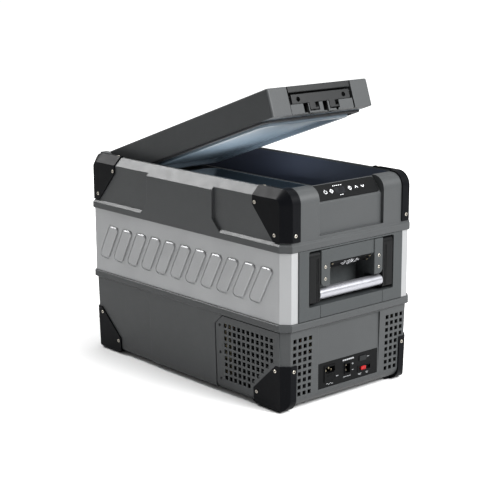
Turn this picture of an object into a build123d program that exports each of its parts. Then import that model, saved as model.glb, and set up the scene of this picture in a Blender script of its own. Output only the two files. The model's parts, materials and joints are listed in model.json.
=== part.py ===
from build123d import *
import math
import os

# Compressor cooler fridge with a hinged lid. Millimetres, +Z up. +X is the end with the
# latch, keys and sockets. Heights below are taken from the underside of the housing. The
# corner guards stand FOOT below it, so save() lifts every piece by FOOT, which puts the
# origin of the written parts on the ground under the middle of the body.

# ---- driving dimensions -------------------------------------------------------------
BAND_L, BAND_W = 586.0, 329.0      # silver middle band, outside
CORNER = 15.0                      # leg of the corner chamfers
HX, HY = BAND_L / 2, BAND_W / 2
FOOT = 6.5                         # drop from the housing to the ground
LOW_Z, LOW_TOP = 0.0, 148.5        # lower housing below its flange
LOW_ROLL = 24.0                    # rolled lower edge of both ends
BAND_Z0, BAND_Z1 = 161.0, 291.0    # silver band
FRAME_Z1 = 399.5                   # rim of the upper frame
SHELF_Z = 345.0                    # shelf that the gasket meets
DRAFT_TOP, DRAFT_LOW = -2.0, -6.0  # side walls of the lower housing, from the band
FLANGE = 3.5                       # how far both flanges stand outside the band
WALL = 3.0                         # moulded wall
GUARD = 2.5                        # thickness of the corner guards

LID_X0, LID_X1, LID_HY = -283.0, 231.3, 126.2
LID_Z0, LID_Z1 = 349.5, 401.8      # closed lid
HINGE_X, HINGE_Z = -276.0, 399.0
LID_OPEN = 19.3                    # degrees that the lid stands open at rest

TUB_X0, TUB_X1, TUB_HY = -240.0, 190.0, 118.0
TUB_STEP_X, TUB_STEP_Z, TUB_Z0 = 92.0, 180.0, 45.0
TUB_R, TUB_WALL = 22.0, 1.5

BAY_Y, BAY_FACE_X, BAY_Z0 = 82.0, 286.5, 312.0      # bay between the end pillars
KEYS_X, KEYS_Z, KEYS_ANGLE = 286.5, 372.0, 50.0     # lower edge and slope of the key panel
KEYS_LEN, KEYS_T = 33.0, 2.5

PANEL_HY, PANEL_X = 133.5, 295.2                    # end panels
RECESS_HY, RECESS_Z0, RECESS_Z1, RECESS_X = 109.0, 185.0, 287.5, 268.0
POCKET_HY, POCKET_X = 57.0, 248.0
ARM_R, ARM_X, ARM_TOP_Z, ARM_Y0, ARM_Y1 = 10.5, 284.3, 275.5, 80.5, 108.0
GRIP_X, GRIP_Z, GRIP_R, SPIGOT_R = 285.0, 204.0, 10.8, 8.0
TRUNNION_R, RUNNING = 3.0, 0.05

SOCKET_HY, SOCKET_Z0, SOCKET_Z1, SOCKET_X = 77.4, 23.0, 72.0, 287.0
BAY_X0 = 97.0                                       # compressor bay starts here

os.makedirs("parts", exist_ok=True)


# ---- helpers ------------------------------------------------------------------------
def block(x0, x1, y0, y1, z0, z1):
    centre = Pos((x0 + x1) / 2, (y0 + y1) / 2, (z0 + z1) / 2)
    return centre * Box(x1 - x0, y1 - y0, z1 - z0)


def plan_points(offset):
    """Corners of the body's chamfered plan, moved out by offset."""
    x, y = HX + offset, HY + offset
    c = CORNER + offset * (2 - math.sqrt(2))
    return [(x - c, -y), (x, -y + c), (x, y - c), (x - c, y),
            (c - x, y), (-x, y - c), (-x, c - y), (c - x, -y)]


def plan(offset, z0, z1):
    return Pos(0, 0, z0) * extrude(Polygon(*plan_points(offset), align=None), z1 - z0)


def tapered(low_offset, z0, top_offset, z1):
    """Body whose plan grows evenly from one offset to another."""
    low = Pos(0, 0, z0) * Polygon(*plan_points(low_offset), align=None)
    top = Pos(0, 0, z1) * Polygon(*plan_points(top_offset), align=None)
    return loft([low.face(), top.face()], ruled=True)


def along_y(points, y0, y1):
    """Prism along Y over an outline of (x, z) points."""
    face = Plane.XZ * Polygon(*points, align=None)
    return Pos(0, y0, 0) * extrude(face, y1 - y0, dir=(0, 1, 0))


def along_x(points, x0, x1):
    """Prism along X over an outline of (y, z) points."""
    face = Plane.YZ * Polygon(*points, align=None)
    return Pos(x0, 0, 0) * extrude(face, x1 - x0, dir=(1, 0, 0))


def rod(start, end, radius):
    """Cylinder from one point to another."""
    a, b = Vector(*start), Vector(*end)
    turned = Plane(origin=(a + b) * 0.5, z_dir=(b - a)).location
    return turned * Cylinder(radius, (b - a).length)


def pipe(points, radius):
    """Round tube with ball corners through a list of points."""
    body = rod(points[0], points[1], radius)
    for a, b in zip(points[1:], points[2:]):
        body += Pos(*a) * Sphere(radius)
        body += rod(a, b, radius)
    return body


def rounded_plate(x0, x1, y0, y1, z0, z1, radius):
    """Plate in plan with rounded vertical corners."""
    shape = RectangleRounded(x1 - x0, y1 - y0, radius)
    return Pos((x0 + x1) / 2, (y0 + y1) / 2, z0) * extrude(shape, z1 - z0)


def cut_all(body, tools):
    """Body less a list of tools that don't meet each other."""
    return body - Compound([s for tool in tools for s in tool.solids()])


def save(name, *pieces):
    solids = [s for piece in pieces for s in piece.solids()]
    export_step(Pos(0, 0, FOOT) * Compound(solids), f"parts/{name}.step")


def corners():
    """The four corners, as a function that copies the +X, -Y corner to each one."""
    yield "front_right", lambda s: s
    yield "front_left", lambda s: mirror(s, Plane.XZ)
    yield "rear_right", lambda s: mirror(s, Plane.YZ)
    yield "rear_left", lambda s: mirror(mirror(s, Plane.YZ), Plane.XZ)


def opened(body):
    """A piece of the closed lid, turned to where the lid stands at rest."""
    return body.rotate(Axis((HINGE_X, 0, HINGE_Z), (0, -1, 0)), LID_OPEN)


# ---- screws -------------------------------------------------------------------------
def screw_frame(position, normal):
    return Plane(origin=position, z_dir=normal).location


def screw(position, normal, head_r=3.3, head_t=1.7, seat=1.2, shank=1.1):
    """Pan-head screw whose head sits seat below the surface, with a cross recess."""
    head = Pos(0, 0, -seat + head_t / 2) * Cylinder(head_r, head_t)
    head = fillet(head.edges().sort_by(Axis.Z)[-1], 0.7)
    for turn in (0, 90):
        head -= Pos(0, 0, head_t - seat) * Rot(0, 0, turn) * Box(head_r * 1.1, 0.9, 1.6)
    head += Pos(0, 0, -seat - shank / 2) * Cylinder(head_r * 0.42, shank)
    return screw_frame(position, normal) * head


def screw_cut(position, normal, head_r=3.3, seat=1.2, shank=1.1):
    """Counterbore and clearance hole for that screw."""
    hole = Pos(0, 0, -seat + 3) * Cylinder(head_r + 0.5, 6)
    hole += Pos(0, 0, -seat - shank / 2 + 0.5) * Cylinder(head_r * 0.42 + RUNNING, shank + 1)
    return screw_frame(position, normal) * hole


# ---- lower housing ------------------------------------------------------------------
def lower_core(grow, z=LOW_Z):
    """Outside of the lower housing's recessed walls down to z, moved out by grow."""
    toe = tapered(DRAFT_LOW - 5 + grow, z, DRAFT_LOW + grow, z + 6)
    body = toe + tapered(DRAFT_LOW + grow, z + 6, DRAFT_TOP + grow, LOW_TOP)
    half = HX + DRAFT_LOW + 0.8 + grow
    roll = block(-half, half, -HY - 20, HY + 20, z, LOW_TOP)
    roll = fillet(roll.edges().filter_by(Axis.Y).sort_by(Axis.Z)[:2], LOW_ROLL + grow)
    above = block(-HX - 20, HX + 20, -HY - 20, HY + 20, z + LOW_ROLL + grow, LOW_TOP)
    return body & (roll + above)


CENTRE_HX, FLARE_HX = 100.0, 122.0     # proud middle of each long side, and its flare
FLARE_DROP = 20.0
VENT_PITCH, VENT_SIZE, VENT_ROWS = 12.7, 8.0, 9
VENT_TOP_Z = 127.6
GUARD_CUT_Z, GUARD_TIP_Z, GUARD_X = 27.0, 82.5, 205.0     # outline of the bottom guards


def proud_centre(grow):
    """Middle of the long sides, which stands proud and widens at its top."""
    low = LOW_TOP - 1.5
    outline = [(-CENTRE_HX, LOW_Z), (CENTRE_HX, LOW_Z), (CENTRE_HX, low - FLARE_DROP),
               (FLARE_HX, low), (-FLARE_HX, low), (-CENTRE_HX, low - FLARE_DROP)]
    return lower_core(grow) & along_y(outline, -HY - 20, HY + 20)


def bottom_guard_mask():
    """Where the +X, -Y bottom guard reaches, as seen from the side and from the end."""
    outline = [(GUARD_X + 16, -FOOT - 1), (GUARD_X, 1), (GUARD_X, GUARD_CUT_Z),
               (266, GUARD_TIP_Z), (305, GUARD_TIP_Z), (305, -FOOT - 1)]
    side = along_y(outline, -HY - 20, -124)
    end = block(268, 305, -134, 0, -FOOT - 1, 90)
    return side - end


def guard_line_x(z):
    """X of the bottom guard's slanted edge at height z."""
    return GUARD_X + (z - GUARD_CUT_Z) * (266 - GUARD_X) / (GUARD_TIP_Z - GUARD_CUT_Z)


def vent_holes_end():
    holes = []
    for row in range(VENT_ROWS):
        z = VENT_TOP_Z - row * VENT_PITCH
        for column in range(4):
            y = 100 + column * VENT_PITCH
            if y > 130 and z < GUARD_TIP_Z + 6:
                continue
            for side in (-1, 1):
                holes.append(Pos(285, side * y, z) * Box(40, VENT_SIZE, VENT_SIZE))
    return holes


def grille_holes():
    holes = []
    for row in range(VENT_ROWS):
        z = VENT_TOP_Z - row * VENT_PITCH
        for column in range(11):
            x = 129 + column * VENT_PITCH
            if x + 7 > guard_line_x(z) and z < GUARD_TIP_Z:
                continue
            holes.append(Pos(x, -160, z) * Box(VENT_SIZE, 40, VENT_SIZE))
    return holes


def lower_housing():
    body = lower_core(0) + proud_centre(3.0)
    body += plan(FLANGE, LOW_TOP, BAND_Z0 - 1.2)
    body += tapered(FLANGE, BAND_Z0 - 1.2, FLANGE - 1.2, BAND_Z0)
    body += tapered(-1.5, LOW_TOP - 3, FLANGE, LOW_TOP)
    hollow = lower_core(-WALL, WALL) + plan(DRAFT_TOP - WALL, LOW_TOP, BAND_Z0 + 1)
    hollow += plan(-20, LOW_Z - 1, WALL + 1) & block(-255, 255, -HY, HY, -1, 5)
    body -= hollow
    body += block(281, 288, -84, 84, 10, 147) & lower_core(0)
    body -= block(287.5, 300, -80, 80, 14, 143)
    body -= block(270, 300, -SOCKET_HY, SOCKET_HY, SOCKET_Z0, SOCKET_Z1)
    body = cut_all(body, vent_holes_end())
    window = along_y([(122, 20), (122, 136), (262, 136), (262, 92), (196, 32), (196, 20)],
                     -HY - 20, -HY + 25)
    blind = block(208, 300, 0, HY + 30, 0, 140)
    return body - window - (mirror(window, Plane.XZ) - blind)


def side_grille():
    outline = [(101.5, 9), (101.5, 128), (121, 145), (276, 145), (276, 9)]
    plate = (lower_core(2.0) - lower_core(0)) & along_y(outline, -HY - 20, -HY + 16)
    plate -= bottom_guard_mask()
    plate = cut_all(plate, grille_holes())
    for z in (126, 73, 21):
        plate -= screw_cut((113, grille_face(z), z), (0, -1, 0), 2.6, 0.6, 1.0)
    return plate


def grille_face(z):
    """Y of the grille's outer face at height z."""
    slope = (DRAFT_TOP - DRAFT_LOW) / (LOW_TOP - LOW_Z - 6)
    return -(HY + DRAFT_LOW + 2.0 + slope * (z - LOW_Z - 6))


def bottom_guard():
    outer = lower_core(GUARD, -FOOT)
    guard = (outer & bottom_guard_mask()) - lower_core(0) - proud_centre(3.0)
    for position, normal in bottom_guard_screws():
        guard -= screw_cut(position, normal)
    return guard


def bottom_guard_screws():
    foot = 6 - FOOT
    slope = (DRAFT_TOP - DRAFT_LOW) / (LOW_TOP - foot)
    out = DRAFT_LOW + GUARD
    for x, z in ((264.5, 72), (213, 20.5)):
        yield (x, -(HY + out + slope * (z - foot)), z), (0, -1, 0)
    yield (HX + out + slope * (72 - foot), -141, 72), (1, 0, 0)


# ---- middle band --------------------------------------------------------------------
RELIEF_HALF, RELIEF_LEAN, RELIEF_WIDTH, RELIEF_PITCH = 33.0, 18.0, 30.0, 46.0
RELIEF_PROUD, RELIEF_GROOVE, RELIEF_DEPTH = 2.4, 3.0, 1.1


def relief_bar(i, grow, y0, y1):
    """Slanted bar number i of the pressed relief, its outline moved out by grow."""
    half = RELIEF_HALF + grow
    lean = RELIEF_LEAN * half / RELIEF_HALF
    wide = RELIEF_WIDTH / 2 + grow * math.hypot(RELIEF_HALF, RELIEF_LEAN) / RELIEF_HALF
    x, middle = i * RELIEF_PITCH, (BAND_Z0 + BAND_Z1) / 2
    bar = along_y([(x - wide - lean, middle - half), (x + wide - lean, middle - half),
                   (x + wide + lean, middle + half), (x - wide + lean, middle + half)], y0, y1)
    return fillet(bar.edges().filter_by(Axis.Y), 6 + grow)


def relief_bars():
    """Pressed slanted bars that stiffen the long silver panels."""
    bars = []
    for i in range(-5, 6):
        bar = relief_bar(i, 0, -HY - RELIEF_PROUD, -HY + RELIEF_DEPTH + 0.1)
        bars.append(chamfer(bar.faces().sort_by(Axis.Y)[0].edges(), 1.5))
    return bars


def side_panel():
    gap = 0.3
    skin = plan(0, BAND_Z0 + gap, BAND_Z1 - gap) - plan(-2, BAND_Z0, BAND_Z1)
    skin -= block(-HX - 5, HX + 5, -PANEL_HY - gap, HY + 5, BAND_Z0, BAND_Z1)
    for i in range(-5, 6):
        skin -= relief_bar(i, RELIEF_GROOVE, -HY - 1, -HY + RELIEF_DEPTH)
    for bar in relief_bars():
        skin += bar
    return skin


def end_panel():
    """Grey end panel with its recess for the handle, at the +X end."""
    panel = block(286, PANEL_X, -PANEL_HY, PANEL_HY, BAND_Z0 + 0.3, BAND_Z1 - 0.3)
    panel = chamfer(panel.faces().sort_by(Axis.X)[-1].edges(), 1.2)
    panel += block(RECESS_X - 3, 287, -RECESS_HY - 3, RECESS_HY + 3, 182, 290)
    panel += block(POCKET_X - 2.5, RECESS_X, -POCKET_HY - 2.5, POCKET_HY + 2.5, 185, 290)
    recess = block(RECESS_X, 300, -RECESS_HY, RECESS_HY, RECESS_Z0, RECESS_Z1)
    panel -= fillet(recess.edges().filter_by(Axis.X), 3)
    panel -= block(POCKET_X, 270, -POCKET_HY, POCKET_HY, RECESS_Z0 + 3, RECESS_Z1)
    for side in (-1, 1):
        groove = block(PANEL_X - 0.8, 300, side * 80.5 - 0.5, side * 80.5 + 0.5, 162, 186)
        panel -= groove
        panel -= rod((ARM_X, side * 107, ARM_TOP_Z), (ARM_X, side * 113, ARM_TOP_Z),
                     TRUNNION_R + RUNNING)
    return panel


HOOD_Z0, HOOD_FLAT_Z, HOOD_INNER_X = 246.0, 261.0, 280.0
HOOD_X, BRACKET_X = PANEL_X - 1.2, PANEL_X + 0.9          # faces of the hood and its brackets
BRACKET_Z0, HOOD_TOP = 219.0, RECESS_Z1 - 1.6


def hood_screws():
    for y in (-69, 69):
        for z in (254, 232):
            yield (BRACKET_X, y, z), (1, 0, 0)


def handle_hood():
    """Hood over the grip pocket, with a bracket block at each side of it."""
    profile = [(RECESS_X, HOOD_Z0), (HOOD_INNER_X, HOOD_Z0), (HOOD_X, HOOD_FLAT_Z),
               (HOOD_X, HOOD_TOP), (RECESS_X, HOOD_TOP)]
    hood = along_y(profile, -POCKET_HY, POCKET_HY)
    for side in (-1, 1):
        y0, y1 = sorted((side * POCKET_HY, side * (ARM_Y0 - 1.2)))
        bracket = block(RECESS_X, BRACKET_X, y0, y1, BRACKET_Z0, HOOD_TOP)
        outer = bracket.edges().filter_by(Axis.X).sort_by(Axis.Z)[:2]
        bracket = fillet(outer.sort_by(Axis.Y)[0 if side < 0 else -1], 9)
        bracket = chamfer(bracket.faces().sort_by(Axis.X)[-1].edges(), 1.0)
        hood += bracket
        hood -= rod((ARM_X, side * 75, ARM_TOP_Z), (ARM_X, side * 82, ARM_TOP_Z),
                    TRUNNION_R + RUNNING)
    for position, normal in hood_screws():
        hood -= screw_cut(position, normal, 3.0)
    return hood


def badge_plate():
    """Thin plate on the hood's slanted face, held by four rivets."""
    run = math.hypot(HOOD_X - HOOD_INNER_X, HOOD_FLAT_Z - HOOD_Z0)
    middle = ((HOOD_X + HOOD_INNER_X) / 2, 0, (HOOD_FLAT_Z + HOOD_Z0) / 2)
    normal = (HOOD_FLAT_Z - HOOD_Z0, 0, -(HOOD_X - HOOD_INNER_X))
    place = Plane(origin=middle, x_dir=(0, 1, 0), z_dir=normal).location
    plate = extrude(RectangleRounded(104, run - 3, 2.5), 1.6)
    plate = chamfer(plate.faces().sort_by(Axis.Z)[-1].edges(), 0.5)
    for x in (-48, 48):
        for y in (-run / 2 + 5, run / 2 - 5):
            plate += Pos(x, y, 1.9) * Cylinder(1.5, 1.4)
    return place * plate


def handle_arms():
    pieces = []
    for side in (-1, 1):
        y0, y1 = sorted((side * ARM_Y0, side * ARM_Y1))
        head = rod((ARM_X, y0, ARM_TOP_Z), (ARM_X, y1, ARM_TOP_Z), ARM_R)
        stem = block(ARM_X - ARM_R, ARM_X + ARM_R, y0, y1, 190, ARM_TOP_Z)
        stem = fillet(stem.edges().filter_by(Axis.Y).sort_by(Axis.Z)[:2], 5)
        arm = head + stem
        arm = chamfer(arm.faces().sort_by(Axis.Y)[0 if side < 0 else -1].edges(), 1.5)
        for y in (86, 89.5):
            arm -= block(ARM_X + ARM_R - 0.8, 300, side * y - 0.6, side * y + 0.6, 180, 272)
        arm -= rod((GRIP_X, side * 79, GRIP_Z), (GRIP_X, side * 92, GRIP_Z), SPIGOT_R)
        outer = sorted((side * 76, side * 111.8))
        arm += rod((ARM_X, outer[0], ARM_TOP_Z), (ARM_X, outer[1], ARM_TOP_Z), TRUNNION_R)
        pieces.append(arm)
    return pieces


def handle_grip():
    """Tube between the arms, with a plug that holds it in each arm."""
    tube = rod((GRIP_X, -ARM_Y0, GRIP_Z), (GRIP_X, ARM_Y0, GRIP_Z), GRIP_R)
    tube += rod((GRIP_X, -92, GRIP_Z), (GRIP_X, 92, GRIP_Z), SPIGOT_R)
    return tube - rod((GRIP_X, -93, GRIP_Z), (GRIP_X, 93, GRIP_Z), SPIGOT_R - 2)


# ---- upper frame --------------------------------------------------------------------
FRAME_HY, END_R, BEVEL = 163.0, 25.0, 15.0
RIM_HY, SHELF_HY, RIM_X0, RIM_X1 = 142.0, 128.0, -285.0, 262.0


def frame_outer(grow, half_y=FRAME_HY, bevel=BEVEL):
    """Outside of the upper frame: rolled over its ends, with each side bevelled all round."""
    x, y, top = HX + grow, half_y + grow, FRAME_Z1 + grow
    body = block(-x, x, -y, y, BAND_Z1 - 50, top)
    body = fillet(body.edges().filter_by(Axis.Y).sort_by(Axis.Z)[-2:], END_R + grow)
    leg = bevel + grow * (2 - math.sqrt(2))
    for side in (0, -1):
        body = chamfer(body.faces().sort_by(Axis.Y)[side].edges(), leg)
    return body & block(-x - 1, x + 1, -y - 1, y + 1, BAND_Z1, top + 1)


def frame_centre():
    """Middle of the long sides, flush with the flange and narrowing above it."""
    outline = [(-120, BAND_Z1 + 12), (120, BAND_Z1 + 12), (98, 326), (98, FRAME_Z1 + 1),
               (-98, FRAME_Z1 + 1), (-98, 326)]
    half = HY + FLANGE
    wide = frame_outer(0, half, BEVEL + half - FRAME_HY)
    return wide & along_y(outline, -HY - 20, HY + 20)


def keys_line(distance, depth):
    """(x, z) on the key panel: distance up its slope, depth below its face."""
    a = math.radians(KEYS_ANGLE)
    return (KEYS_X - distance * math.cos(a) - depth * math.sin(a),
            KEYS_Z + distance * math.sin(a) - depth * math.cos(a))


def bay_cut(inset):
    """Space in front of the bay between the pillars, with its slope for the keys."""
    low, high = keys_line(0, KEYS_T + inset), keys_line(60, KEYS_T + inset)
    face = BAY_FACE_X - inset
    foot = KEYS_Z - (KEYS_T + inset) / math.cos(math.radians(KEYS_ANGLE)) + (
        BAY_FACE_X - face) * math.tan(math.radians(KEYS_ANGLE))
    outline = [(face, BAY_Z0 - inset), (320, BAY_Z0 - inset), (320, high[1]), high]
    if low[0] < face:
        outline.append((face, foot))
    return along_y(outline, -BAY_Y - inset, BAY_Y + inset)


def mouth(grow):
    """Sloping opening from the rim down to the shelf."""
    def rectangle(half_y, z):
        wide = RIM_X1 - RIM_X0 + 2 * grow
        return Pos((RIM_X0 + RIM_X1) / 2, 0, z) * Rectangle(wide, 2 * (half_y + grow))

    rise = (RIM_HY - SHELF_HY) / (FRAME_Z1 - SHELF_Z)
    low, high = SHELF_Z - grow, FRAME_Z1 + 20
    return loft([rectangle(SHELF_HY - rise * grow, low).face(),
                 rectangle(RIM_HY + rise * 20, high).face()], ruled=True)


def upper_frame():
    body = frame_outer(0) + frame_centre()
    body += plan(FLANGE, BAND_Z1 + 1.2, BAND_Z1 + 12)
    body += tapered(FLANGE - 1.2, BAND_Z1, FLANGE, BAND_Z1 + 1.2)
    body += tapered(FLANGE, BAND_Z1 + 12, -1.5, BAND_Z1 + 17)
    body -= bay_cut(0)
    body -= mouth(0)
    cavity = frame_outer(-WALL) - mouth(WALL) - bay_cut(WALL)
    cavity &= block(-400, 400, -400, 400, BAND_Z1 - 1, SHELF_Z - WALL - 0.5)
    cavity += plan(-6, BAND_Z1 - 1, BAND_Z1 + 14)
    body -= cavity
    body -= tub(TUB_WALL, SHELF_Z + 5)
    return body


TOP_TIP_Z, TOP_BAND_Y, RIM_SCREW_R = 309.0, 130.0, 2.3


def top_guard():
    """Guard over the +X, -Y top corner, from the side flat round to the rolled end."""
    side = along_y([(207, 410), (207, 369), (262, TOP_TIP_Z), (305, TOP_TIP_Z), (305, 410)],
                   -HY - 20, -RIM_HY)
    end = block(RIM_X1, 305, -HY - 20, -TOP_BAND_Y, TOP_TIP_Z, 410)
    guard = (frame_outer(GUARD) - frame_outer(0)) & (side + end)
    guard -= plan(FLANGE, BAND_Z1, BAND_Z1 + 17)
    for position, normal in top_guard_screws():
        guard -= screw_cut(position, normal)
    position, normal = rim_screw()
    return guard - screw_cut(position, normal, RIM_SCREW_R, 0.8)


def top_guard_screws():
    y = -FRAME_HY - GUARD
    yield (265, y, 321), (0, -1, 0)
    yield (213, y, 373), (0, -1, 0)
    yield (HX + GUARD, -141.5, 321), (1, 0, 0)


def rim_screw():
    """Small screw on the narrow flat of the rim."""
    return (218, -145.3, FRAME_Z1 + GUARD), (0, 0, 1)


# ---- key panel ----------------------------------------------------------------------
KEY_ROW = 16.5
ROUND_KEYS = (("power_button", -52.0), ("set_button", -37.0), ("left_key", 9.5),
              ("up_key", 26.0), ("down_key", 42.5))
KEY_R, DISPLAY_Y, DISPLAY_SIZE = 4.6, -14.5, (25.0, 13.0)


def keys_place():
    """Frame on the key panel's outer face: X along +Y of the body, Y up the slope."""
    x, z = keys_line(0, 0)
    a = math.radians(KEYS_ANGLE)
    return Plane(origin=(x, 0, z), x_dir=(0, 1, 0),
                 z_dir=(math.sin(a), 0, math.cos(a))).location


def key_panel():
    shape = Pos(0, 1 + (KEYS_LEN - 1) / 2) * RectangleRounded(158, KEYS_LEN - 1, 5)
    plate = Pos(0, 0, -KEYS_T) * extrude(shape, KEYS_T)
    plate = chamfer(plate.faces().sort_by(Axis.Z)[-1].edges(), 0.6)
    for name, y in ROUND_KEYS:
        plate -= Pos(y, KEY_ROW, -1) * Cylinder(KEY_R + 0.3, 6)
    plate -= Pos(DISPLAY_Y, KEY_ROW, -0.6 + 2) * Box(*DISPLAY_SIZE, 4)
    return keys_place() * plate


def display_window():
    shape = RectangleRounded(DISPLAY_SIZE[0] - 0.2, DISPLAY_SIZE[1] - 0.2, 0.8)
    return keys_place() * Pos(DISPLAY_Y, KEY_ROW, -0.6) * extrude(shape, 0.5)


def round_key(y):
    key = Pos(0, 0, -0.7) * Cylinder(KEY_R, 2.4)
    key = fillet(key.edges().sort_by(Axis.Z)[-1], 0.5)
    return keys_place() * Pos(y, KEY_ROW, 0) * key


# ---- tub, foam and evaporator -------------------------------------------------------
def tub(grow, z_top):
    """Space of the stepped tub, moved out by grow."""
    wide = rounded_plate(TUB_X0 - grow, TUB_X1 + grow, -TUB_HY - grow, TUB_HY + grow,
                         TUB_STEP_Z - grow, z_top, TUB_R + grow)
    deep = rounded_plate(TUB_X0 - grow, TUB_STEP_X + grow, -TUB_HY - grow, TUB_HY + grow,
                         TUB_Z0 - grow, z_top, TUB_R + grow)
    return wide + deep


def inner_liner():
    body = tub(TUB_WALL, SHELF_Z) - tub(0, SHELF_Z + 1)
    lip = block(TUB_X0 - 9, TUB_X1 + 9, -TUB_HY - 7, TUB_HY + 7, 338.5, 341)
    return body + (lip - tub(0.5, SHELF_Z))


def evaporator_plate():
    z0, z1, near, far = 62.0, 172.0, TUB_WALL, TUB_WALL + 1.2
    outer = rounded_plate(TUB_X0 - far, TUB_STEP_X + far, -TUB_HY - far, TUB_HY + far,
                          z0, z1, TUB_R + far)
    inner = rounded_plate(TUB_X0 - near, TUB_STEP_X + near, -TUB_HY - near,
                          TUB_HY + near, z0 - 1, z1 + 1, TUB_R + near)
    return outer - inner


def foam():
    low = plan(-12, 12, BAND_Z0 + 4) & block(-400, BAY_X0 - 1, -400, 400, 0, 400)
    middle = plan(-2.2, BAND_Z0 + 4, BAND_Z1)
    top = plan(-7, BAND_Z1, 338.3)
    body = low + middle + top
    for x0, x1 in ((243, 300), (-300, -243)):
        body -= block(x0, x1, -114, 114, 180, BAND_Z1)
    for x0, x1 in ((285.5, 300), (-300, -285.5)):
        body -= block(x0, x1, -PANEL_HY - 1, PANEL_HY + 1, BAND_Z0, BAND_Z1)
    body -= tub(TUB_WALL, SHELF_Z)
    body -= block(TUB_X0 - 3, TUB_STEP_X + 3, -TUB_HY - 3, TUB_HY + 3, 61, 173)
    body -= bay_cut(WALL + 0.3)
    return body


# ---- compressor bay -----------------------------------------------------------------
FAN_X, FAN_Z, FAN_Y0, FAN_Y1, FAN_R = 190.0, 80.0, -122.0, -98.0, 44.0


def base_pan():
    pan = plan(-14.2, WALL, 2 * WALL) & block(-263, 263, -HY, HY, 0, 10)
    for x in (-180, -60, 60, 180):
        pan += block(x - 2, x + 2, -140, 140, 2 * WALL, 11.5)
    return pan


def compressor():
    x, y, z0, radius, height = 152.0, 72.0, 22.0, 52.0, 106.0
    can = Pos(x, y, z0 + height / 2) * Cylinder(radius, height)
    can = fillet(can.edges().filter_by(GeomType.CIRCLE), 24)
    can += block(x - 52, x + 52, y - 44, y + 44, 19, 23)
    can += block(x + 46, x + 66, y - 22, y + 22, 50, 92)
    can += rod((x, y, 120), (x, y, 140), 5)
    return can


def compressor_grommets():
    pieces = []
    for x in (108, 196):
        for y in (36, 108):
            pieces.append(Pos(x, y, 15.25) * Cylinder(7, 7.5))
    return pieces


def condenser():
    """Fin pack with a flat tube through it, behind the side grille."""
    x0, x1, y0, y1, z0, z1 = 132.0, 248.0, -146.0, -124.0, 24.0, 136.0
    pack = block(x0, x0 + 2, y0, y1, z0, z1) + block(x1 - 2, x1, y0, y1, z0, z1)
    for i in range(29):
        z = z0 + 1 + i * (z1 - z0 - 2) / 28
        pack += block(x0, x1, y0, y1, z - 0.5, z + 0.5)
    for z in (45, 80, 115):
        pack += rod((x0 - 5, (y0 + y1) / 2, z), (x1 + 5, (y0 + y1) / 2, z), 4)
    return pack


def fan_shroud():
    frame = block(FAN_X - 50, FAN_X + 50, FAN_Y0, FAN_Y1, FAN_Z - 50, FAN_Z + 50)
    frame -= rod((FAN_X, FAN_Y0 - 1, FAN_Z), (FAN_X, FAN_Y1 + 1, FAN_Z), FAN_R + 2)
    for turn in range(0, 180, 60):
        spoke = Pos(FAN_X, FAN_Y1 - 1.5, FAN_Z) * Rot(0, turn + 15, 0) * Box(94, 3, 5)
        frame += spoke
    frame += rod((FAN_X, FAN_Y1 - 3, FAN_Z), (FAN_X, FAN_Y1, FAN_Z), 17)
    frame += rod((FAN_X, FAN_Y0 + 4, FAN_Z), (FAN_X, FAN_Y1 - 2, FAN_Z), 2.0)
    return frame


def fan_rotor():
    y0, y1 = FAN_Y0 + 2, FAN_Y1 - 5
    hub = rod((FAN_X, y0, FAN_Z), (FAN_X, y1, FAN_Z), 15)
    hub -= rod((FAN_X, FAN_Y0, FAN_Z), (FAN_X, FAN_Y1, FAN_Z), 2.0 + RUNNING)
    blade = Rot(28, 0, 0) * Box(30, 17, 1.6)
    for i in range(7):
        hub += Pos(FAN_X, (y0 + y1) / 2, FAN_Z) * Rot(0, i * 360 / 7, 0) * Pos(27.5, 0, 0) * blade
    return hub & rod((FAN_X, y0, FAN_Z), (FAN_X, y1, FAN_Z), FAN_R)


def filter_drier():
    return Pos(236, 40, 60) * Cylinder(9, 70) + Pos(236, 40, 100) * Cylinder(3, 14)


def refrigerant_lines():
    first = pipe([(152, 72, 140.5), (152, 72, 150), (152, -80, 150), (122, -80, 150),
                  (122, -135, 150), (122, -135, 115), (126.5, -135, 115)], 3)
    second = pipe([(253.5, -135, 45), (262, -135, 45), (262, -95, 45), (262, -95, 152),
                   (236, -95, 152), (236, 40, 152), (236, 40, 107.5)], 3)
    return first, second


def control_board():
    board = block(262, 264, -70, 70, 84, 138)
    for i in range(5):
        y = -56 + i * 27
        board += block(250 - (i % 2) * 3, 262, y - 8, y + 8, 92, 112 + (i % 3) * 6)
    return board


def power_module():
    box = block(216, 252, -78, -12, 12, 80)
    for i in range(6):
        y = -72 + i * 11
        box -= block(213, 218, y, y + 5, 20, 72)
    return box


# ---- sockets ------------------------------------------------------------------------
AC_Y, DC_Y, USB_Y, SLIDE_Y = -47.5, -2.0, 38.0, 42.8
AC_Z, DC_Z, USB_Z, SLIDE_Z, KNOB_Y = 48.6, 48.6, 60.0, 40.5, 40.3
DC_HY, DC_HZ = 8.0, 11.0
SLIDE_HY, SLIDE_HZ = 15.5, 4.2


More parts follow.
